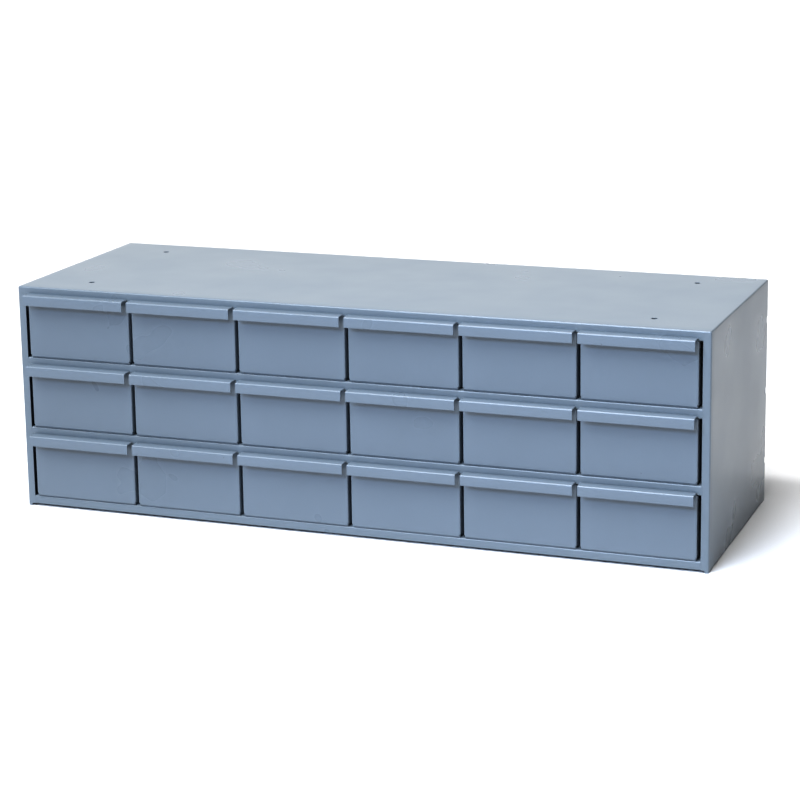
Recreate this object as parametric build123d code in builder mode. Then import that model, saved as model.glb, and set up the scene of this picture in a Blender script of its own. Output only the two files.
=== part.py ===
from build123d import *
import os

# A parts bin cabinet of folded sheet steel: six columns by three rows of drawers in one case.
# Millimetres, +Z up. X runs along the width and the drawers open towards -Y.
# The origin is on the floor, under the middle of the whole cabinet, pulls included.

# ---- Driving dimensions: the case ----
columns = 6
rows = 3
cabinet_width = 857.25
cabinet_height = 276.2
case_depth = 295.3           # front frame to rear flanges, without the pulls
case_sheet = 1.0             # wall of the shell, shelves and back
case_bend = 2.0              # outside radius of the shell's folds
stile_width = 9.5            # front flange down each side
top_rail_height = 11.5       # front flange under the top
rail_height = 11.5           # front of a shelf between two rows
base_rail_height = 10.4      # front of the base shelf
floor_gap = 2.8              # light under the base rail
rail_bend = 2.2              # outside radius over a rail's top edge
return_lip = 25.0            # how far a rail's lower edge runs back
rear_flange = 10.0           # folded edge round the back
bottom_flange = 12.0         # folded edge along each side's foot
foot_width = 5.0             # what is left of the stile at the floor
foot_relief_depth = 15.0     # where the foot flange starts, behind the front
shelf_flange = 8.0           # folded edge at a shelf's ends and rear
rear_notch_height = 8.0      # notch in the rear corner fold, one beside each row
rear_notch_size = 5.0
bolt_hole_diameter = 7.1     # clears a 1/4 inch bolt
bolt_inset = 76.2            # hole centre from the cabinet's side
bolt_spacing_depth = 203.2   # front hole to rear hole

# ---- Driving dimensions: the dividers between drawers ----
divider_sheet = 0.9
divider_setback = 16.0       # behind the front frame
divider_flange = 7.0         # folded over to weld under the sheet above
fit_gap = 0.5                # free space where a divider is cut round a rail or flange

# ---- Driving dimensions: the drawers ----
drawer_sheet = 0.8
drawer_gap = 4.1             # between two fronts, and beside a stile
drawer_depth = 285.75        # front face to back of tray
tray_height = 69.85
tray_back_height = 62.0
tray_bend = 1.5
tray_hem = 5.0               # folded-in top edge of a tray's sides
slide_clearance = 0.3        # tray floor over its shelf
stop_clearance = 0.3         # drawer front to rail, and stop tab to return lip
stop_tab_width = 30.0
stop_tab_shoulder = 6.0
stop_tab_rise = 4.0          # above the opening's top edge
front_bend = 1.5
front_flange = 10.0          # front's folded edges, along the tray
front_top_gap = 1.0          # folded edges stop below the rail
corner_relief = 3.0          # side fold ends above the bottom corner
corner_notch = 1.6           # radius of the notch in each bottom corner
pull_inset = 1.0             # pull is narrower than the front, each end
pull_rise = 3.8              # ledge over the opening's top edge
pull_reach = 14.8            # lip ahead of the front face
pull_height = 12.7
pull_bend = 2.0
pull_hem = 5.0

# ---- Places worked out from them ----
overall_depth = case_depth + stop_clearance + drawer_sheet + pull_reach
back_y = overall_depth / 2
front_y = back_y - case_depth
mid_y = (front_y + back_y) / 2
panel_y = back_y - case_sheet                    # rear flange meets back panel
shelf_rear_y = panel_y - case_sheet              # back panel meets shelves
frame_width = cabinet_width - 2 * stile_width    # between the stiles
inner_width = cabinet_width - 2 * case_sheet     # between the shell's sides
base_top = floor_gap + base_rail_height
opening_height = (cabinet_height - top_rail_height - base_top - (rows - 1) * rail_height) / rows
row_pitch = opening_height + rail_height
face_width = (frame_width - (columns + 1) * drawer_gap) / columns
column_pitch = face_width + drawer_gap
face_y = front_y - stop_clearance - drawer_sheet
face_bottom = slide_clearance + drawer_sheet     # over the shelf: its fold lies on the tray's floor
tray_width = face_width - 2 * drawer_sheet
tray_front_y = face_y + front_bend
tray_back_y = face_y + drawer_depth
lip_end_y = front_y + return_lip
travel = tray_back_y - drawer_sheet - lip_end_y - stop_clearance


def row_floor(row):
    """Height of the sheet that a row's drawers slide on. Row 1 is the top row."""
    return base_top + (rows - row) * row_pitch


def column_x(column):
    """Middle of a column. Column 1 is at the left, seen from the front."""
    return (column - (columns + 1) / 2) * column_pitch


def write(piece, name):
    """Labels a finished piece and writes its file."""
    piece.part.label = name
    export_step(piece.part, f"parts/{name}.step")


def write_at(piece, x, z, name):
    """Writes a copy of a piece, moved to its bay."""
    with BuildPart() as copy:
        with Locations((x, 0, z)):
            add(piece.part)
    write(copy, name)


def outer_shell():
    """Top and both sides, folded from one sheet, with flanges all round."""
    edge_bend = case_bend - case_sheet
    with BuildPart() as shell:
        with BuildSketch():
            with Locations((0, mid_y)):
                Rectangle(cabinet_width, case_depth)
        extrude(amount=cabinet_height)
        folds = shell.edges().filter_by(Axis.Z) + shell.edges().filter_by(Axis.Y)
        folds += shell.faces().sort_by(Axis.Z)[-1].edges().filter_by(Axis.X)
        fillet(folds, radius=case_bend)
        with BuildSketch(Plane.XY.offset(case_sheet)):
            with Locations((0, mid_y)):
                RectangleRounded(inner_width, case_depth - 2 * case_sheet, edge_bend)
        extrude(amount=cabinet_height - 2 * case_sheet, mode=Mode.SUBTRACT)
        # Front opening: stiles and top rail are left round it.
        with BuildSketch(Plane.XZ.offset(-front_y)):
            with Locations((0, 0)):
                Rectangle(frame_width, cabinet_height - top_rail_height, align=(Align.CENTER, Align.MIN))
        extrude(amount=-case_bend, mode=Mode.SUBTRACT)
        # Rear opening: a flange is left round it.
        with BuildSketch(Plane.XZ.offset(-back_y)):
            Rectangle(
                cabinet_width - 2 * rear_flange,
                cabinet_height - rear_flange,
                align=(Align.CENTER, Align.MIN),
            )
        extrude(amount=case_bend, mode=Mode.SUBTRACT)
        # Open underneath, apart from a foot flange along each side.
        with BuildSketch():
            with Locations((0, mid_y)):
                Rectangle(cabinet_width - 2 * bottom_flange, case_depth)
            with Locations((0, front_y), (0, back_y)):
                Rectangle(cabinet_width - 2 * foot_width, 2 * foot_relief_depth)
        extrude(amount=floor_gap, mode=Mode.SUBTRACT)
        # The top rail's lower edge runs back as a lip that the drawers' stop tabs meet.
        with BuildSketch(Plane.XY.offset(cabinet_height - top_rail_height)):
            with Locations((0, front_y)):
                Rectangle(frame_width, return_lip, align=(Align.CENTER, Align.MIN))
        extrude(amount=case_sheet)
        # A notch in each rear corner fold beside the middle of each row.
        for row in range(1, rows + 1):
            with BuildSketch(Plane.XY.offset(row_floor(row) + (opening_height - rear_notch_height) / 2)):
                with Locations((-cabinet_width / 2, back_y), (cabinet_width / 2, back_y)):
                    Rectangle(2 * rear_notch_size, 2 * rear_notch_size)
            extrude(amount=rear_notch_height, mode=Mode.SUBTRACT)
        with Locations((0, mid_y, cabinet_height)):
            with GridLocations(cabinet_width - 2 * bolt_inset, bolt_spacing_depth, 2, 2):
                Hole(radius=bolt_hole_diameter / 2, depth=2 * case_sheet)
    return shell


def back_panel():
    """Flat sheet inside the rear flanges. The shelves and the shell are welded to it."""
    panel_height = cabinet_height - case_bend - floor_gap
    with BuildPart() as panel:
        with BuildSketch(Plane.XZ.offset(-panel_y)):
            with Locations((0, floor_gap)):
                Rectangle(cabinet_width - 2 * case_bend, panel_height, align=(Align.CENTER, Align.MIN))
        extrude(amount=case_sheet)
    return panel


def shelf(top_z, face_height):
    """A sheet that carries one row. Its front edge is folded down as the rail, then back as the lip."""
    half = case_sheet / 2
    bend = case_sheet
    profile = [
        (shelf_rear_y - half, top_z - shelf_flange),
        (shelf_rear_y - half, top_z - half),
        (front_y + half, top_z - half),
        (front_y + half, top_z - face_height + half),
        (lip_end_y, top_z - face_height + half),
    ]
    behind_stile = max(case_bend, rail_bend)
    end_x = (cabinet_width - stile_width) / 2
    with BuildPart() as sheet:
        with BuildSketch(Plane.YZ):
            with BuildLine():
                FilletPolyline(*profile, radius=[bend, rail_bend - half, bend])
            trace(line_width=case_sheet)
        extrude(amount=inner_width / 2, both=True)
        # The sheet runs out to the sides, and the rail and lip stop between the stiles.
        with BuildSketch(Plane.XY.offset(top_z)):
            with Locations((-end_x, front_y), (end_x, front_y)):
                Rectangle(stile_width, 2 * behind_stile)
        extrude(amount=-face_height, mode=Mode.SUBTRACT)
        with BuildSketch(Plane.XY.offset(top_z - case_sheet)):
            with Locations((-end_x, front_y), (end_x, front_y)):
                Rectangle(stile_width, 2 * return_lip)
        extrude(amount=case_sheet - face_height, mode=Mode.SUBTRACT)
        # Ends folded down against the shell's sides.
        with BuildSketch(Plane.XY.offset(top_z - case_sheet)):
            end_length = shelf_rear_y - case_sheet - lip_end_y
            with Locations((-(inner_width - case_sheet) / 2, lip_end_y), ((inner_width - case_sheet) / 2, lip_end_y)):
                Rectangle(case_sheet, end_length, align=(Align.CENTER, Align.MIN))
        extrude(amount=case_sheet - shelf_flange)
    return sheet


def divider(row):
    """Upright sheet that guides two neighbouring drawers, drawn on its own row's floor at X = 0."""
    over = top_rail_height if row == 1 else rail_height
    top = opening_height + over - case_sheet
    front = front_y + divider_setback
    lip = lip_end_y + fit_gap
    rear = shelf_rear_y - case_sheet - fit_gap
    with BuildPart() as sheet:
        with BuildSketch(Plane.YZ):
            with BuildLine():
                Polyline(
                    (front, 0),
                    (shelf_rear_y, 0),
                    (shelf_rear_y, top - shelf_flange),
                    (rear, top - shelf_flange),
                    (rear, top),
                    (lip, top),
                    (lip, opening_height - fit_gap),
                    (front, opening_height - fit_gap),
                    close=True,
                )
            make_face()
        extrude(amount=divider_sheet / 2, both=True)
        with BuildSketch(Plane.XY.offset(top)):
            with Locations((-divider_sheet / 2, lip)):
                Rectangle(divider_flange, rear - lip, align=(Align.MIN, Align.MIN))
        extrude(amount=-divider_sheet)
    return sheet


def tray():
    """Drawer body: floor and sides folded from one strip, and a back with a stop tab."""
    half = drawer_sheet / 2
    side_x = tray_width / 2 - half
    floor_z = slide_clearance + half
    top_z = slide_clearance + tray_height
    inner_x = tray_width / 2 - drawer_sheet
    tab_x = stop_tab_width / 2
    with BuildPart() as body:
        with BuildSketch(Plane.XZ.offset(-tray_back_y)):
            with BuildLine():
                FilletPolyline(
                    (-side_x, top_z),
                    (-side_x, floor_z),
                    (side_x, floor_z),
                    (side_x, top_z),
                    radius=tray_bend - half,
                )
            trace(line_width=drawer_sheet)
            with Locations((-inner_x + half, top_z), (inner_x - half, top_z)):
                Rectangle(drawer_sheet, tray_hem, align=(Align.CENTER, Align.MAX))
        extrude(amount=tray_back_y - tray_front_y)
        with BuildSketch(Plane.XZ.offset(-tray_back_y)):
            with BuildLine():
                Polyline(
                    (-inner_x - half, floor_z),
                    (inner_x + half, floor_z),
                    (inner_x + half, tray_back_height),
                    (tab_x + stop_tab_shoulder, tray_back_height),
                    (tab_x, opening_height + stop_tab_rise),
                    (-tab_x, opening_height + stop_tab_rise),
                    (-tab_x - stop_tab_shoulder, tray_back_height),
                    (-inner_x - half, tray_back_height),
                    close=True,
                )
            make_face()
        extrude(amount=drawer_sheet)
    return body


def drawer_front():
    """Pressed front: face, folded edges, and a full-width pull turned out of its top edge."""
    half = drawer_sheet / 2
    pan_top = opening_height - front_top_gap
    pan_height = pan_top - face_bottom
    ledge_z = opening_height + pull_rise
    lip_y = face_y - pull_reach
    relief_x = 2 * drawer_sheet + tray_bend
    corners = [(-face_width / 2, face_bottom), (face_width / 2, face_bottom)]
    with BuildPart() as front:
        with BuildSketch(Plane.XZ.offset(-face_y)):
            with Locations((0, face_bottom)):
                Rectangle(face_width, pan_height, align=(Align.CENTER, Align.MIN))
        extrude(amount=-front_flange)
        face_edges = front.faces().sort_by(Axis.Y)[0].edges().sort_by(Axis.Z)[:-1]
        fillet(face_edges, radius=front_bend)
        # Hollow from behind and above, which leaves side folds and a bottom fold.
        with BuildSketch(Plane.XY.offset(face_bottom + drawer_sheet)):
            with Locations((0, face_y + drawer_sheet)):
                RectangleRounded(
                    face_width - 2 * drawer_sheet,
                    2 * front_flange,
                    front_bend - drawer_sheet,
                    align=(Align.CENTER, Align.MIN),
                )
        extrude(amount=pan_height, mode=Mode.SUBTRACT)
        # Corner relief: side folds lie outside the tray, and the bottom fold lies inside it.
        with BuildSketch(Plane.XZ.offset(-face_y - front_bend)):
            with Locations(*corners):
                Rectangle(2 * relief_x, 2 * corner_relief)
        extrude(amount=-front_flange, mode=Mode.SUBTRACT)
        with BuildSketch(Plane.XZ.offset(-face_y)):
            with Locations(*corners):
                Circle(corner_notch)
        extrude(amount=-front_flange, mode=Mode.SUBTRACT)
        # Pull: up in front of the rail, out as a ledge, down as a lip with a hem behind it.
        with BuildSketch(Plane.YZ):
            with BuildLine():
                FilletPolyline(
                    (face_y + half, pan_top - front_bend),
                    (face_y + half, ledge_z - half),
                    (lip_y + half, ledge_z - half),
                    (lip_y + half, ledge_z - pull_height),
                    radius=pull_bend - half,
                )
            trace(line_width=drawer_sheet)
            with Locations((lip_y + drawer_sheet, ledge_z - pull_height)):
                Rectangle(drawer_sheet, pull_hem, align=(Align.MIN, Align.MIN))
        extrude(amount=face_width / 2 - pull_inset, both=True)
    return front


os.makedirs("parts", exist_ok=True)

write(outer_shell(), "outer_shell")
write(back_panel(), "back_panel")
write(shelf(base_top, base_rail_height), "base_shelf")
write(shelf(row_floor(2), rail_height), "lower_shelf")
write(shelf(row_floor(1), rail_height), "upper_shelf")

tray_piece = tray()
front_piece = drawer_front()
for row in range(1, rows + 1):
    divider_piece = divider(row)
    for column in range(1, columns + 1):
        place = f"r{row}_c{column}"
        write_at(tray_piece, column_x(column), row_floor(row), f"tray_{place}")
        write_at(front_piece, column_x(column), row_floor(row), f"front_{place}")
        if column < columns:
            middle = column_x(column) + column_pitch / 2
            write_at(divider_piece, middle, row_floor(row), f"divider_{place}")

print(f"drawer travel {travel:.2f}, overall {cabinet_width} x {overall_depth:.2f} x {cabinet_height}")
print(f"face {face_width:.3f} wide, opening {opening_height:.3f} high, front plane y {front_y:.3f}")
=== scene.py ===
# %% [markdown]
# # A parts bin cabinet in folded sheet steel
# The real cabinet is cut from flat sheet, folded on a press brake, spot-welded, sprayed and baked. This
# lesson builds its visible skins the same way: each one is a flat grid of cells, with some cells left out
# where the sheet is cut away, bent along straight fold lines. The measured model that carries the joints is
# loaded first and never moved.

import bmesh
import bpy
import numpy as np
from mathutils import Matrix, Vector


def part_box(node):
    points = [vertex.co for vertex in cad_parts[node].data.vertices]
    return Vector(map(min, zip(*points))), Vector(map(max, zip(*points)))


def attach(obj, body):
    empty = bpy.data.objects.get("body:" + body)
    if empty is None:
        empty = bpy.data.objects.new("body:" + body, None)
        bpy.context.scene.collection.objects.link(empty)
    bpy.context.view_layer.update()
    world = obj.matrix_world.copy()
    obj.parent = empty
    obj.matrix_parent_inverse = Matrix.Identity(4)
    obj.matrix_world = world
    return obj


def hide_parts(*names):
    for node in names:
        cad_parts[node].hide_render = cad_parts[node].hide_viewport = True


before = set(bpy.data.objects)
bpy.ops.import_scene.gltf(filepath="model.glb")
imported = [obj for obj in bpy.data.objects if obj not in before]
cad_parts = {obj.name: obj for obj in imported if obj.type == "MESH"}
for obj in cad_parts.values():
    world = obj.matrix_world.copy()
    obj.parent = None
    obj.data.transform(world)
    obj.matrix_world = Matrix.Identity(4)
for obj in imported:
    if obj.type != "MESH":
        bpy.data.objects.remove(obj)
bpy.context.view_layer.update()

# %% [markdown]
# ## The camera
# The photograph is taken from the right and a little above, with a long lens. The eight corners of the case
# give the place and the lens. The uprights stay almost parallel in the photograph, so the film is shifted a
# little, as a studio camera does it, in place of tilting the camera more.

# %% Place the camera
azimuth, elevation, roll = np.radians([20.30, 12.17, -0.78])
camera_place = (0.988, -2.552, 0.841)
film_width, focal_pixels, picture_pixels = 36, 2320.5, 800
back = np.array([np.sin(azimuth) * np.cos(elevation), -np.cos(azimuth) * np.cos(elevation), np.sin(elevation)])
level = np.cross(-back, [0, 0, 1])
level /= np.linalg.norm(level)
upright = np.cross(level, -back)
right = np.cos(roll) * level + np.sin(roll) * upright
up = np.cross(back, right)

lens = bpy.data.cameras.new("studio_camera")
lens.sensor_width = film_width
lens.lens = film_width * focal_pixels / picture_pixels
lens.shift_x, lens.shift_y = -0.03, -0.12
lens.clip_end = 200
camera = bpy.data.objects.new("studio_camera", lens)
camera.matrix_world = Matrix.Translation(camera_place) @ Matrix(np.array([right, up, back]).T).to_4x4()
bpy.context.scene.collection.objects.link(camera)
bpy.context.scene.camera = camera
print("lens", round(lens.lens, 1), "mm, camera at", [round(v, 3) for v in camera.location])

# %% [markdown]
# ## Nodes and colours
# Every finish below is a small tree of shader nodes. One function adds any node, with its settings and links,
# and one turns a colour from the way a picture stores it (sRGB hex) to the linear light that a renderer
# reckons with.


# %% Helpers for finishes
def linear(code):
    """Linear colour of an sRGB hex code: low values are divided by 12.92, the rest raised to the power 2.4."""
    value = np.array([int(code[i:i + 2], 16) for i in (1, 3, 5)]) / 255
    curve = np.where(value <= 0.04045, value / 12.92, ((value + 0.055) / 1.055) ** 2.4)
    return (*curve.tolist(), 1.0)


def add_node(tree, kind, settings=(), inputs=(), links=()):
    """Adds a node: settings are its properties, inputs fixed values, and links the outputs that feed it."""
    made = tree.nodes.new(kind)
    for name, value in dict(settings).items():
        setattr(made, name, value)
    for name, value in dict(inputs).items():
        made.inputs[name].default_value = value
    for name, source in dict(links).items():
        tree.links.new(source, made.inputs[name])
    return made


def new_finish(name):
    """An empty material with only its output node, and the place in millimetres as the pattern coordinate."""
    finish = bpy.data.materials.new(name)
    finish.use_nodes = True
    tree = finish.node_tree
    tree.nodes.clear()
    out = add_node(tree, "ShaderNodeOutputMaterial")
    place = add_node(tree, "ShaderNodeTexCoord")
    scaled = add_node(
        tree, "ShaderNodeMapping", inputs={"Scale": (1000, 1000, 1000)},
        links={"Vector": place.outputs["Object"]},
    )
    return finish, tree, out, scaled.outputs["Vector"]


print("sRGB #808080, linear:", [round(v, 3) for v in linear("#808080")[:3]])

# %% [markdown]
# ## Baked enamel on steel
# The whole cabinet is sprayed with a semi-gloss enamel and baked. The paint levels out while it is hot, but
# not wholly: a soft orange peel about 2.5 mm across stays, and it breaks up the edges of reflections. Thin
# sheet is never quite flat either, so a long, shallow wave (about 120 mm) bends what it mirrors. Rare specks
# of dust are baked in. Paint is a dielectric: metallic 0 and an index of refraction of 1.5. The sizes below
# are in millimetres, and the heights of the two bumps are in metres. A speck's reach is a share of the spacing.

# %% Sizes of the enamel's patterns
drift_size, grain_size = 90, 1.6
wave_size, wave_height = 120, 0.0002
peel_size, peel_height = 2.5, 0.00002
dust_spacing, dust_reach, dust_share = 14, 0.035, 0.06
speck_width = round(2 * dust_spacing * dust_reach, 2)
print("one", dust_spacing, "mm cell in", round(1 / dust_share), "may show a speck, up to", speck_width, "mm wide")


# %% Mix the enamel
def enamel_tone(tree, place, drift, tone, light_tone):
    """Tone between two near colours: 0.6 of the broad drift plus 0.4 of a fine grain, with rare specks."""
    fine = {"Scale": 1 / grain_size, "Detail": 3.0, "Roughness": 0.6}
    grain = add_node(tree, "ShaderNodeTexNoise", inputs=fine, links={"Vector": place})
    blend = add_node(tree, "ShaderNodeMath", {"operation": "MULTIPLY_ADD"}, {1: 0.6, 2: 0.0}, {0: drift})
    parts = {0: grain.outputs["Fac"], 2: blend.outputs[0]}
    blend = add_node(tree, "ShaderNodeMath", {"operation": "MULTIPLY_ADD"}, {1: 0.4}, parts)
    tones = {6: linear(tone), 7: linear(light_tone)}
    colour = add_node(tree, "ShaderNodeMix", {"data_type": "RGBA"}, tones, {0: blend.outputs[0]})
    spacing = {"Scale": 1 / dust_spacing}
    cells = add_node(tree, "ShaderNodeTexVoronoi", {"feature": "F1"}, spacing, {"Vector": place})
    distance = {0: cells.outputs["Distance"]}
    near = add_node(tree, "ShaderNodeMath", {"operation": "LESS_THAN"}, {1: dust_reach}, distance)
    pick = add_node(tree, "ShaderNodeSeparateColor", links={"Color": cells.outputs["Color"]})
    rare = add_node(tree, "ShaderNodeMath", {"operation": "LESS_THAN"}, {1: dust_share}, {0: pick.outputs[0]})
    both = {0: near.outputs[0], 1: rare.outputs[0]}
    speck = add_node(tree, "ShaderNodeMath", {"operation": "MULTIPLY"}, links=both)
    layers = {0: speck.outputs[0], 6: colour.outputs[2]}
    return add_node(tree, "ShaderNodeMix", {"data_type": "RGBA"}, {7: linear("#3d444b")}, layers).outputs[2]


def baked_enamel(name, tone, light_tone, roughness, peel):
    """Sprayed and baked semi-gloss enamel. Gloss drifts with tone, and two bumps bend what it mirrors."""
    finish, tree, out, place = new_finish(name)
    broad = {"Scale": 1 / drift_size, "Detail": 2.0, "Roughness": 0.5}
    drift = add_node(tree, "ShaderNodeTexNoise", inputs=broad, links={"Vector": place}).outputs["Fac"]
    colour = enamel_tone(tree, place, drift, tone, light_tone)
    limits = {1: 0.3, 2: 0.7, 3: roughness - 0.03, 4: roughness + 0.03}
    gloss = add_node(tree, "ShaderNodeMapRange", inputs=limits, links={0: drift})
    long_wave = {"Scale": 1 / wave_size, "Detail": 0.0}
    wave = add_node(tree, "ShaderNodeTexNoise", inputs=long_wave, links={"Vector": place})
    rolling = add_node(
        tree, "ShaderNodeBump", inputs={"Strength": 1.0, "Distance": wave_height},
        links={"Height": wave.outputs["Fac"]},
    )
    orange_peel = {"Scale": 1 / peel_size, "Detail": 0.0}
    skin = add_node(tree, "ShaderNodeTexNoise", inputs=orange_peel, links={"Vector": place})
    bump = add_node(
        tree, "ShaderNodeBump", inputs={"Strength": peel, "Distance": peel_height},
        links={"Height": skin.outputs["Fac"], "Normal": rolling.outputs["Normal"]},
    )
    shader = add_node(
        tree, "ShaderNodeBsdfPrincipled", inputs={"Metallic": 0.0, "IOR": 1.5},
        links={"Base Color": colour, "Roughness": gloss.outputs[0], "Normal": bump.outputs["Normal"]},
    )
    tree.links.new(shader.outputs[0], out.inputs["Surface"])
    return finish


case_enamel = baked_enamel("baked_grey_blue_enamel_case", "#626d76", "#6a757f", 0.30, 0.35)
drawer_enamel = baked_enamel("baked_grey_blue_enamel_drawers", "#616c76", "#69747f", 0.30, 0.35)
# The inside's two tones are mixed darker than the case's: painted shade for the trays, dividers and back.
inside_enamel_painted_shade = baked_enamel("thin_grey_blue_enamel_inside_painted_shade", "#5c6670", "#646f79", 0.42, 0.5)
print("finishes:", [m.name for m in (case_enamel, drawer_enamel, inside_enamel_painted_shade)])

# %% [markdown]
# ## Floor and light
# The photograph is a studio shot on white. The floor is one wide matt sheet. A broad lamp overhead makes the
# top pale and draws the bright lines on the folds. A cool lamp in front and a broad soft light from above the
# front left light the drawer faces. The world is a dim grey with one soft bright patch, so nothing with a
# shape shows up in the gloss.

# %% Lay the floor
paper, tree, out, place = new_finish("matt_white_paper_floor")
fibre_size = 3
fibres = {"Scale": 1 / fibre_size, "Detail": 2.0}
fibre = add_node(tree, "ShaderNodeTexNoise", inputs=fibres, links={"Vector": place})
whites = {6: linear("#dadadb"), 7: linear("#dedede")}
white = add_node(tree, "ShaderNodeMix", {"data_type": "RGBA"}, whites, {0: fibre.outputs["Fac"]})
matt = add_node(
    tree, "ShaderNodeBsdfPrincipled", inputs={"Roughness": 0.9, "Specular IOR Level": 0.1},
    links={"Base Color": white.outputs[2]},
)
tree.links.new(matt.outputs[0], out.inputs["Surface"])

floor_half, floor_lines = 30.0, 9
floor_marks = np.linspace(-floor_half, floor_half, floor_lines)
corner_x, corner_y = np.meshgrid(floor_marks, floor_marks, indexing="ij")
floor_points = np.stack([corner_x, corner_y, np.zeros_like(corner_x)], -1).reshape(-1, 3)
number = np.arange(floor_lines ** 2).reshape(floor_lines, floor_lines)
floor_cells = np.stack([number[:-1, :-1], number[1:, :-1], number[1:, 1:], number[:-1, 1:]], -1).reshape(-1, 4)
floor_mesh = bpy.data.meshes.new("studio_floor")
floor_mesh.from_pydata(floor_points.tolist(), [], floor_cells.tolist())
floor_mesh.materials.append(paper)
studio_floor = bpy.data.objects.new("studio_floor", floor_mesh)
bpy.context.scene.collection.objects.link(studio_floor)
print("floor", 2 * floor_half, "m square")


# %% Hang the lamps
def area_lamp(name, place, target, size, power, tint, spread=180):
    """A flat soft lamp at a place, facing a target: its local -Z axis points along target minus place. A spread
    under 180 degrees is a grid in front of it, which narrows its beam."""
    lamp = bpy.data.lights.new(name, "AREA")
    lamp.shape, lamp.size, lamp.size_y = "RECTANGLE", *size
    lamp.energy, lamp.color, lamp.spread = power, linear(tint)[:3], np.radians(spread)
    away = np.array(place, float) - np.array(target, float)
    away /= np.linalg.norm(away)
    side = np.cross([0.0, 1.0, 0.0] if abs(away[2]) > 0.9 else [0.0, 0.0, 1.0], away)
    side /= np.linalg.norm(side)
    turn = Matrix(np.array([side, np.cross(away, side), away]).T).to_4x4()
    made = bpy.data.objects.new(name, lamp)
    made.matrix_world = Matrix.Translation(place) @ turn
    bpy.context.scene.collection.objects.link(made)
    return made


overhead = area_lamp("overhead_softbox", (-0.1, -0.45, 2.0), (-0.05, -0.1, 0.25), (1.1, 0.22), 27, "#ffffff")
front = area_lamp("cool_front_softbox", (-0.3, -2.6, 1.5), (0.45, 0, 0.1), (1.2, 0.4), 12, "#c8dfff", spread=70)
sky = bpy.data.lights.new("even_studio_light", "SUN")
sky.energy, sky.angle = 4.6, np.radians(50)
sky_lamp = bpy.data.objects.new("even_studio_light", sky)
sky_lamp.matrix_world = Matrix.Rotation(np.radians(-10), 4, "Y") @ Matrix.Rotation(np.radians(30), 4, "X")
bpy.context.scene.collection.objects.link(sky_lamp)
print("lamps:", overhead.name, front.name, sky_lamp.name)

# %% [markdown]
# ## The studio round it
# At a low angle a smooth coat of paint mirrors what is behind it, so the top of the cabinet takes its
# paleness from a bright wall behind the set. The world is that wall: a broad white patch where the top
# mirrors it to the lens, and a dim grey elsewhere. The print is a hard one, with deep blacks in the gaps and
# a bleached floor, and a display gamma under 1 gives that.

# %% Wrap the world round
patch_rim, patch_core = 0.72, 0.95
patch_power, dim_power = 1.1, 0.12
world = bpy.data.worlds.new("white_studio")
world.use_nodes = True
tree = world.node_tree
tree.nodes.clear()
toward = add_node(tree, "ShaderNodeTexCoord")
mirror = add_node(
    tree, "ShaderNodeVectorMath", {"operation": "DOT_PRODUCT"}, {1: (-back[0], -back[1], back[2])},
    {0: toward.outputs["Generated"]},
)
wall = add_node(
    tree, "ShaderNodeMapRange", {"interpolation_type": "SMOOTHSTEP"}, {1: patch_rim, 2: patch_core},
    {0: mirror.outputs["Value"]},
)
power = add_node(
    tree, "ShaderNodeMath", {"operation": "MULTIPLY_ADD"}, {1: patch_power, 2: dim_power}, {0: wall.outputs[0]}
)
glow = add_node(
    tree, "ShaderNodeBackground", inputs={"Color": linear("#ffffff")}, links={"Strength": power.outputs[0]}
)
add_node(tree, "ShaderNodeOutputWorld", links={"Surface": glow.outputs[0]})
bpy.context.scene.world = world
bpy.context.scene.view_settings.view_transform = "Standard"
bpy.context.scene.view_settings.gamma = 0.75
print("world:", world.name)

# %% [markdown]
# ## Real sizes
# The outside sizes are read from the measured model. Sheet thickness and fold radii are the cabinet's own
# values, repeated here in metres. A fold is drawn along the middle of the sheet's thickness, so its radius
# there is the outside radius less half a sheet.

# %% Read the sizes
mm = 0.001
shell_low, shell_high = (np.array(v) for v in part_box("outer_shell"))
front_low, front_high = (np.array(v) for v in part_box("front_r1_c1"))
width, height = shell_high[0] - shell_low[0], shell_high[2]
front_y, back_y = shell_low[1], shell_high[1]
mid_y = (front_y + back_y) / 2
case_sheet, case_bend = 1.0 * mm, 2.0 * mm
stile_width, rail_height, base_rail_height = 9.5 * mm, 11.5 * mm, 10.4 * mm
floor_gap, lip_depth = 2.8 * mm, 25 * mm
frame_half = width / 2 - stile_width
drawer_sheet, face_half = 0.8 * mm, (front_high[0] - front_low[0]) / 2
rows = {row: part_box(f"tray_r{row}_c1")[0][2] - 0.3 * mm for row in (1, 2, 3)}
columns = {}
for column in range(1, 7):
    left_corner, right_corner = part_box(f"front_r1_c{column}")
    columns[column] = (left_corner[0] + right_corner[0]) / 2
case_size = np.round([width, back_y - front_y, height], 4)
print("case", case_size, "row floors", {r: round(z, 4) for r, z in rows.items()})

# %% [markdown]
# ## From flat blank to folded sheet
# A press brake bends a flat blank along straight lines. Here the blank is a grid of cells. One function
# rounds the corners of a line of straight runs, and another turns a grid of points, with the cells that are
# kept, into a mesh. Solidify then gives the sheet its thickness both ways from the middle, and a small bevel
# eases the cut edges, because paint pulls back from a sharp edge and leaves it round.


# %% Fold and cut
def folded_line(corners, radii, steps=6):
    """Points along straight runs with rounded corners. At each corner the line leaves the run at radius times
    tan(half the turn) before it, and follows (sin a, 1 - cos a) times the radius, a going from 0 to the turn.
    A corner that doesn't turn has no side to bend to, and comes out as NaN."""
    corners = np.asarray(corners, float)
    run = np.diff(corners, axis=0)
    run /= np.linalg.norm(run, axis=1)[:, None]
    pieces = [corners[:1]]
    for corner, radius, before, after in zip(corners[1:-1], radii, run[:-1], run[1:]):
        turn = np.arccos(np.clip(before @ after, -1, 1))
        side = after - (before @ after) * before
        side /= np.linalg.norm(side)
        angle = np.linspace(0, turn, steps + 1)[:, None]
        start = corner - before * radius * np.tan(turn / 2)
        pieces.append(start + radius * (np.sin(angle) * before + (1 - np.cos(angle)) * side))
    pieces.append(corners[-1:])
    return np.concatenate(pieces)


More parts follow.
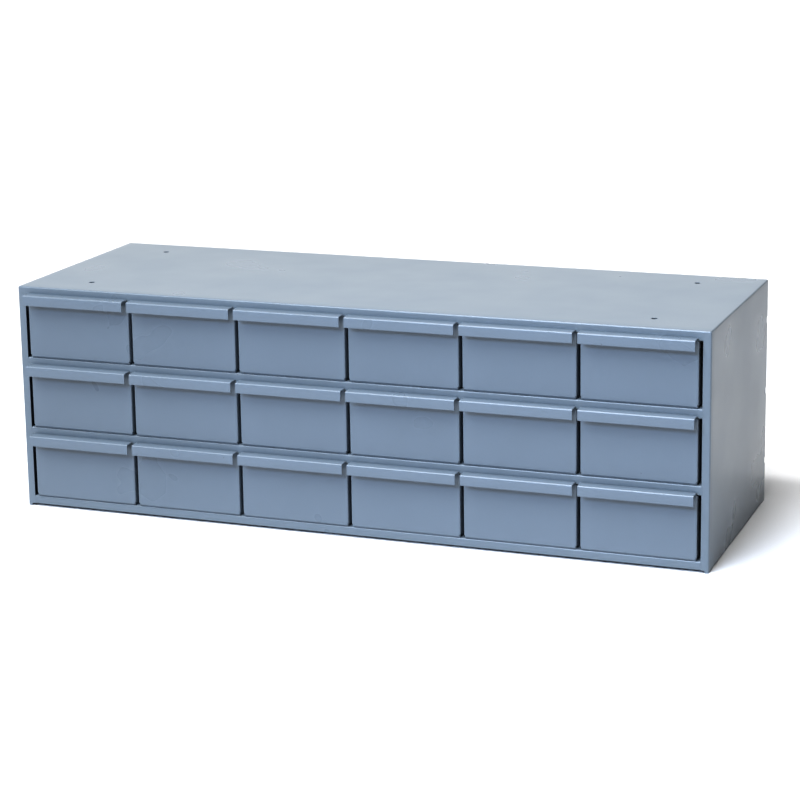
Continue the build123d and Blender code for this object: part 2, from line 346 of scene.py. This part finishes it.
def sheet_piece(name, points, keep, thickness, finish):
    """Mesh of a grid of points (lines, points of a line, 3): cell (i, j) joins points (i, j), (i+1, j),
    (i+1, j+1), (i, j+1) where keep is true. Points that meet are merged, and unused ones dropped."""
    number = np.arange(points.shape[0] * points.shape[1]).reshape(points.shape[:2])
    cells = np.stack([number[:-1, :-1], number[1:, :-1], number[1:, 1:], number[:-1, 1:]], -1)[keep]
    used, cells = np.unique(cells, return_inverse=True)
    mesh = bpy.data.meshes.new(name)
    mesh.from_pydata(points.reshape(-1, 3)[used].tolist(), [], cells.reshape(-1, 4).tolist())
    work = bmesh.new()
    work.from_mesh(mesh)
    bmesh.ops.remove_doubles(work, verts=work.verts, dist=2e-6)
    work.to_mesh(mesh)
    work.free()
    mesh.polygons.foreach_set("use_smooth", np.ones(len(mesh.polygons), bool))
    mesh.materials.append(finish)
    piece = bpy.data.objects.new(name, mesh)
    bpy.context.scene.collection.objects.link(piece)
    solid = piece.modifiers.new("sheet_thickness", "SOLIDIFY")
    solid.thickness, solid.offset, solid.use_even_offset = thickness, 0.0, True
    ease = piece.modifiers.new("eased_edges", "BEVEL")
    ease.width, ease.segments = 0.16 * thickness, 2
    ease.limit_method, ease.angle_limit = "ANGLE", np.radians(50)
    ease.harden_normals = True
    return piece


print("a right-angle fold of 2 mm radius has", len(folded_line([(0, 0), (1, 0), (1, 1)], [0.002])), "points")

# %% [markdown]
# ## Drawer fronts
# Each front is one blank. From the bottom up it has a fold that lies under the tray, the face, a strip that
# stands in front of the rail, the ledge of the pull, its lip, and a hem that hides the lip's raw edge from
# the fingers. The sides fold back round the tray. The blank is cut away at the bottom corners, where two
# folds would meet, and just under the pull, so that the brake can bend the sides and the pull apart. The
# grid's own cells are left out there. The height of a point gives its place in one profile and its distance
# from the middle its place in the other.

# %% Sizes of a drawer front
half_sheet = drawer_sheet / 2
pull_reach, pull_rise, pull_height, pull_hem = 14.8 * mm, 3.8 * mm, 12.7 * mm, 5 * mm
face_y = front_low[1] + pull_reach
face_low = front_low[2] - rows[1]
opening = rows[2] - rows[3] - rail_height
ledge_z = opening + pull_rise
fold_depth, fold_radius, pull_radius = 10 * mm, 1.5 * mm - half_sheet, 2 * mm - half_sheet
pan_top = opening - 1.0 * mm
pull_half = face_half - 1.0 * mm
slit_height = 0.5 * mm
print("face", round(2 * face_half / mm, 1), "x", round((pan_top - face_low) / mm, 1), "mm")

# %% Bend a drawer front
lip_y, hem_y = front_low[1] + half_sheet, front_low[1] + 3.2 * half_sheet
lip_low = ledge_z - pull_height
up_line = folded_line(
    [
        (face_y + fold_depth, face_low + half_sheet),
        (face_y + half_sheet, face_low + half_sheet),
        (face_y + half_sheet, ledge_z - half_sheet),
        (lip_y, ledge_z - half_sheet),
        (lip_y, lip_low + half_sheet),
        (hem_y, lip_low + half_sheet),
        (hem_y, lip_low + pull_hem),
    ],
    [fold_radius, pull_radius, pull_radius, 1.1 * half_sheet, 1.1 * half_sheet],
)
start = int(np.flatnonzero(np.abs(np.diff(up_line[:, 1])) > 40 * mm)[0])
low_marks = [face_low + 3 * mm, face_low + 6 * mm, 24 * mm, 42 * mm, 60 * mm]
marks = np.array([*low_marks, pan_top - 3 * mm, pan_top, pan_top + slit_height])
slit_row = start + len(marks)
face_rows = np.stack([np.full(len(marks), face_y + half_sheet), marks], -1)
up_line = np.concatenate([up_line[:start + 1], face_rows, up_line[start + 1:]])
side_edge = face_half - half_sheet
side_line = folded_line([(0, half_sheet), (side_edge, half_sheet), (side_edge, fold_depth)], [fold_radius])
across = np.concatenate([np.linspace(0, face_half - 12 * mm, 6), [face_half - 6 * mm, face_half - 3.1 * mm]])
half_line = np.concatenate([np.stack([across, np.full(len(across), half_sheet)], -1), side_line[1:]])
side_line = np.concatenate([half_line[:0:-1] * (-1, 1), half_line])
print("front blank:", len(up_line), "x", len(side_line), "points")


# %% Cut and place the eighteen fronts
def front_points(x, z):
    """Middle surface of a front: the upright profile carried across, with the side profile's depth added to it.
    Above the pan the sides stay flat, and the strip ends at the pull's half width."""
    line_y, line_z = up_line.T
    side_x, side_y = side_line.T
    flat_x = np.clip(side_x, -pull_half, pull_half)
    above = (np.arange(len(line_z)) > slit_row)[None, :]
    px = np.where(above, flat_x[:, None], side_x[:, None])
    py = line_y[None, :] + np.where(above, 0, side_y[:, None] - half_sheet)
    pz = np.broadcast_to(line_z[None, :], py.shape)
    return np.stack([px + x, py, pz + z], -1)


cell_x = np.abs(side_line[:-1, 0] + side_line[1:, 0]) / 2
cell_fold = (side_line[:-1, 1] + side_line[1:, 1]) / 2 > half_sheet + 1e-6
row_index = np.arange(len(up_line) - 1)
is_pull, is_slit, is_low = row_index > slit_row, row_index == slit_row, row_index <= start
keep = ~(cell_fold[:, None] & (is_low | is_slit)[None, :])
keep &= ~((cell_x[:, None] > pull_half) & is_pull[None, :])
print("cells kept:", int(keep.sum()), "of", keep.size)

fronts = []
for row, floor_z in rows.items():
    for column, x in columns.items():
        name = f"drawer_front_r{row}_c{column}"
        piece = sheet_piece(name, front_points(x, floor_z), keep, drawer_sheet, drawer_enamel)
        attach(piece, f"drawer_r{row}_c{column}")
        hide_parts(f"front_r{row}_c{column}")
        fronts.append(piece)
print("fronts made:", len(fronts))

# %% [markdown]
# ## The shell
# Top and sides are one sheet, wrapped over like a tunnel, with its edges folded in all round: a frame in
# front, a narrower one behind, and a foot along each side. The blank's lines run round the tunnel one way and
# from front to back the other way. Round the tunnel, the outside is a rounded line and the edge of the
# opening a sharp one, and the flange is drawn straight between them. The feet are slit free near the corners,
# where the side stays straight.

# %% Sizes of the shell
half_case = case_sheet / 2
fold = case_bend - half_case
side_x, top_z = width / 2 - half_case, height - half_case
hole_x, hole_y, hole_radius, hole_ring = width / 2 - 76.2 * mm, 101.6 * mm, 3.55 * mm, 9 * mm
holes = [(x, y) for x in (-hole_x, hole_x) for y in (mid_y - hole_y, mid_y + hole_y)]
foot_width, foot_start, foot_slit = 12 * mm, 15 * mm, 0.8 * mm
notch_height, notch_depth = 8 * mm, 5 * mm
rear_flange = 10 * mm
end_reach = foot_start + foot_slit / 2
notch_low = np.array([rows[1], rows[2], rows[3]]) + (opening - notch_height) / 2
print("bolt holes:", np.round(holes, 4).tolist())

# %% Lines round the tunnel
over_hole = np.linspace(-hole_radius, hole_radius, 7)
hole_lines = np.concatenate([[-hole_ring, -6 * mm], over_hole, [6 * mm, hole_ring]])
quarter = np.linspace(0, np.pi / 2, 7)[1:]
top_x = np.concatenate([
    [70 * mm, 140 * mm, 210 * mm, 280 * mm], hole_x + hole_lines, [390 * mm, frame_half, side_x - fold],
])
notch_lines = np.stack([notch_low + notch_height, notch_low], 1).ravel()
side_z = np.concatenate([[height - rear_flange], notch_lines, [floor_gap, half_case + fold]])
arc_x, arc_z = side_x - fold + fold * np.sin(quarter), fold * np.cos(quarter)
foot_x = side_x - fold + fold * np.cos(quarter)
half_round = {
    "top": np.stack([top_x, np.full(len(top_x), top_z)], -1),
    "corner": np.stack([arc_x, top_z - fold + arc_z], -1),
    "side": np.stack([np.full(len(side_z), side_x), side_z], -1),
    "foot_bend": np.stack([foot_x, half_case + fold - fold * np.sin(quarter)], -1),
    "foot": np.array([[side_x - fold - 5 * mm, half_case], [width / 2 - foot_width, half_case]]),
}
right_half = np.concatenate([[[0, top_z]], *half_round.values()])
part_names = np.repeat(list(half_round), [len(v) for v in half_round.values()])
labels = np.concatenate([["top"], part_names])
inward = np.zeros_like(right_half)
inward[labels == "top"] = (0, -1)
inward[labels == "corner"] = -np.stack([np.sin(quarter), np.cos(quarter)], -1)
inward[~np.isin(labels, ["top", "corner"])] = (-1, 0)
straight = right_half.copy()
bend_z = np.linspace(half_case + fold, 0, 7)[1:]
straight[labels == "foot_bend"] = np.stack([np.full(len(bend_z), side_x), bend_z], -1)
straight[labels == "foot"] = (side_x, 0)


def both_halves(lines):
    """The right half's lines with their mirror image before them, so they run from the left foot to the right."""
    return np.concatenate([lines[:0:-1] * (-1, 1), lines])


around, around_straight, inward = both_halves(right_half), both_halves(straight), both_halves(inward)
part = np.concatenate([part_names[::-1], part_names])
print("lines round the tunnel:", len(around))

# %% [markdown]
# From front to back the lines are: the return lip under the top rail, the front flange, its fold, the depth,
# the rear fold and the rear flange. Cells over the bolt holes are left out, and the square that is left is
# made round: a point's distance from the hole, reckoned along the longer of its two offsets, becomes its true
# distance.

# %% Lines from front to back
sheet_y = front_y + half_case
lip_fold = 1.0 * mm
arc = np.linspace(0, np.pi / 2, 7)
slit_ends = (front_y + foot_start + foot_slit, back_y - foot_start)
depth_lines = np.concatenate([
    [front_y + foot_start, slit_ends[0]], mid_y - hole_y + hole_lines, [mid_y - 40 * mm, mid_y + 40 * mm],
    mid_y + hole_y + hole_lines, [slit_ends[1] - foot_slit, slit_ends[1]],
    [back_y - notch_depth, back_y - case_bend],
])
opening_edge = np.array([frame_half, height - 10 * mm])
rear_edge = np.array([width / 2 - rear_flange, height - rear_flange])
rings, zone = [], []


def ring(line, y, name):
    """Adds one line round the tunnel at a depth y, under the name of the cells between it and the line before."""
    rings.append(np.stack([line[:, 0], np.broadcast_to(y, len(line)), line[:, 1]], -1))
    zone.append(name)


def held_in(line, edge):
    """The nearest point of a rectangle, whose corner is edge and whose foot is open, to each point of a line."""
    return np.stack([np.clip(line[:, 0], -edge[0], edge[0]), np.minimum(line[:, 1], edge[1])], -1)


front_edge, back_edge = held_in(around_straight, opening_edge), held_in(around_straight, rear_edge)
bend_start = around_straight + fold * inward
print("lines from front to back:", len(depth_lines), "between the folds")

# %% The wrapped surface
ring(front_edge - (0, lip_fold), front_y + lip_depth, "lip")
for a in arc[::-1]:
    ring(front_edge - (0, lip_fold * np.sin(a)), sheet_y + lip_fold * (1 - np.cos(a)), "lip")
ring(0.4 * front_edge + 0.6 * bend_start, sheet_y, "front_inner")
ring(bend_start, sheet_y, "front_outer")
for a in arc[-2::-1]:
    ring(around_straight + fold * (1 - np.cos(a)) * inward, sheet_y + fold * (1 - np.sin(a)), "front_bend")
for y in depth_lines:
    near_end = min(y - front_y, back_y - y) < end_reach
    slit = min(abs(y - end) for end in slit_ends) < 1e-9
    ring(around_straight if near_end else around, y, "slit" if slit else "depth")
for a in arc[1:]:
    line = around_straight + fold * (1 - np.cos(a)) * inward
    ring(line, back_y - half_case - fold * (1 - np.sin(a)), "rear_bend")
ring(bend_start * 0.625 + back_edge * 0.375, back_y - half_case, "rear_outer")
ring(back_edge, back_y - half_case, "rear_inner")
shell_points, zone = np.stack(rings, 1), np.array(zone[1:])
for hole in holes:
    off = shell_points[..., :2] - hole
    square = np.abs(off).max(-1)
    on_top = (square < hole_ring) & (shell_points[..., 2] > height - 1 * mm)
    reach = np.where(on_top, (hole_ring - square) / (hole_ring - hole_radius), 0)
    reach = np.clip(reach, 0, 1)[..., None]
    true = np.maximum(np.hypot(off[..., 0], off[..., 1]), 1e-9)
    shell_points[..., :2] = hole + off * (1 - reach + reach * (square / true)[..., None])
print("shell blank:", shell_points.shape[:2], "zones:", sorted(set(zone)))

# %% Cut the shell's blank and fold it
centre = (shell_points[:-1, :-1] + shell_points[1:, :-1] + shell_points[1:, 1:] + shell_points[:-1, 1:]) / 4
part_grid, zone_grid = np.broadcast_arrays(part[:, None], zone[None, :])
is_foot, is_foot_bend = part_grid == "foot", part_grid == "foot_bend"
at_end = (centre[..., 1] < front_y + end_reach) | (centre[..., 1] > back_y - end_reach)
keep_shell = ~(is_foot & (at_end | (zone_grid == "slit"))) & ~(is_foot_bend & (zone_grid == "slit"))
keep_shell &= (zone_grid != "lip") | ((part_grid == "top") & (np.abs(centre[..., 0]) < frame_half))
low_cells = centre[..., 2] < floor_gap
keep_shell &= ~(low_cells & np.isin(zone_grid, ["front_inner", "rear_inner"]))
rear_corner = np.isin(zone_grid, ["rear_bend", "rear_outer"])
rear_corner |= (centre[..., 1] > back_y - notch_depth) & (zone_grid == "depth")
for z in notch_low:
    beside = (part_grid == "side") & (centre[..., 2] > z) & (centre[..., 2] < z + notch_height)
    keep_shell &= ~(beside & rear_corner)
for x, y in holes:
    in_hole = (np.abs(centre[..., 0] - x) < hole_radius) & (np.abs(centre[..., 1] - y) < hole_radius)
    keep_shell &= ~(in_hole & (part_grid == "top") & (zone_grid == "depth"))
shell = sheet_piece("folded_shell", shell_points, keep_shell, case_sheet, case_enamel)
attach(shell, "case")
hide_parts("outer_shell")
print("shell cells kept:", int(keep_shell.sum()), "of", keep_shell.size)

# %% [markdown]
# ## Shelves with their rails
# A shelf is folded down in front as a rail and back again as a lip, and its ends and rear are folded down to
# be welded to the shell and the back. On the real one the flat sheet runs on behind the stiles. Here too the
# blank is a grid, one profile from front to back. The ends are asked for below, but a known fault leaves them
# out: this skin stops at the inner edges of the stiles.


# %% Fold the three shelves
def shelf_sheet(name, node, top, rail):
    """Shelf skin: the upright profile, carried across the width between the stiles."""
    high = np.array(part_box(node)[1])
    rear, side = high[1] - half_case, high[0] - half_case
    sheet_z, flange = top - half_case, 8 * mm
    profile = folded_line(
        [(front_y + lip_depth, top - rail + half_case), (sheet_y, top - rail + half_case), (sheet_y, sheet_z),
         (front_y + lip_depth + 0.2 * mm, sheet_z), (0, sheet_z), (rear, sheet_z), (rear, top - flange)],
        [1.0 * mm, 1.7 * mm, 0, 0, 1.0 * mm],
    )
    # Known fault: the two corners that don't turn are NaN. They are dropped here together with the point after
    # them, so the flat run isn't level to 1e-7 and the cells beyond frame_half, the ends, are never kept.
    profile = profile[np.concatenate([[True], np.linalg.norm(np.diff(profile, axis=0), axis=1) > 1e-7])]
    end = folded_line([(frame_half, 0), (side, 0), (side, flange - half_case)], [0.6 * mm])
    across = np.concatenate([[[x, 0] for x in np.linspace(0, frame_half, 7)[:-1]], end])
    across = np.concatenate([across[:0:-1] * (-1, 1), across])
    grid = np.broadcast_arrays(across[:, :1], profile[None, :, 0], profile[None, :, 1] - across[:, 1:])
    points = np.stack(grid, -1)
    middle_x = np.abs(across[:-1, 0] + across[1:, 0]) / 2
    drop = (across[:-1, 1] + across[1:, 1]) / 2 > 1e-7
    middle_y = (profile[:-1, 0] + profile[1:, 0]) / 2
    level_point = np.abs(profile[:, 1] - top + half_case) < 1e-7
    flat = level_point[:-1] & level_point[1:]
    keep = (middle_x[:, None] < frame_half) | (flat & (middle_y > front_y + 2.2 * mm))[None, :]
    keep &= ~(drop[:, None] & ~(flat & (middle_y > front_y + lip_depth))[None, :])
    piece = sheet_piece(name, points, keep, case_sheet, case_enamel)
    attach(piece, "case")
    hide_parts(node)
    return piece


shelves = [
    shelf_sheet("folded_base_shelf", "base_shelf", rows[3], base_rail_height),
    shelf_sheet("folded_lower_shelf", "lower_shelf", rows[2], rail_height),
    shelf_sheet("folded_upper_shelf", "upper_shelf", rows[1], rail_height),
]
print("shelves:", [s.name for s in shelves])

# %% [markdown]
# ## Finish what is carried over
# The trays, the dividers and the back keep the measured model's own shape, and get the thin enamel of the
# inside, whose tones are mixed darker than the case's as painted shade. The measured shell and shelves are hidden
# behind the folded ones, and get the enamel of the case.

# %% Paint the measured parts
for name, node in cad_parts.items():
    node.data.materials.clear()
    node.data.materials.append(case_enamel if name.endswith(("shell", "shelf")) else inside_enamel_painted_shade)
print("painted:", len(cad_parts))
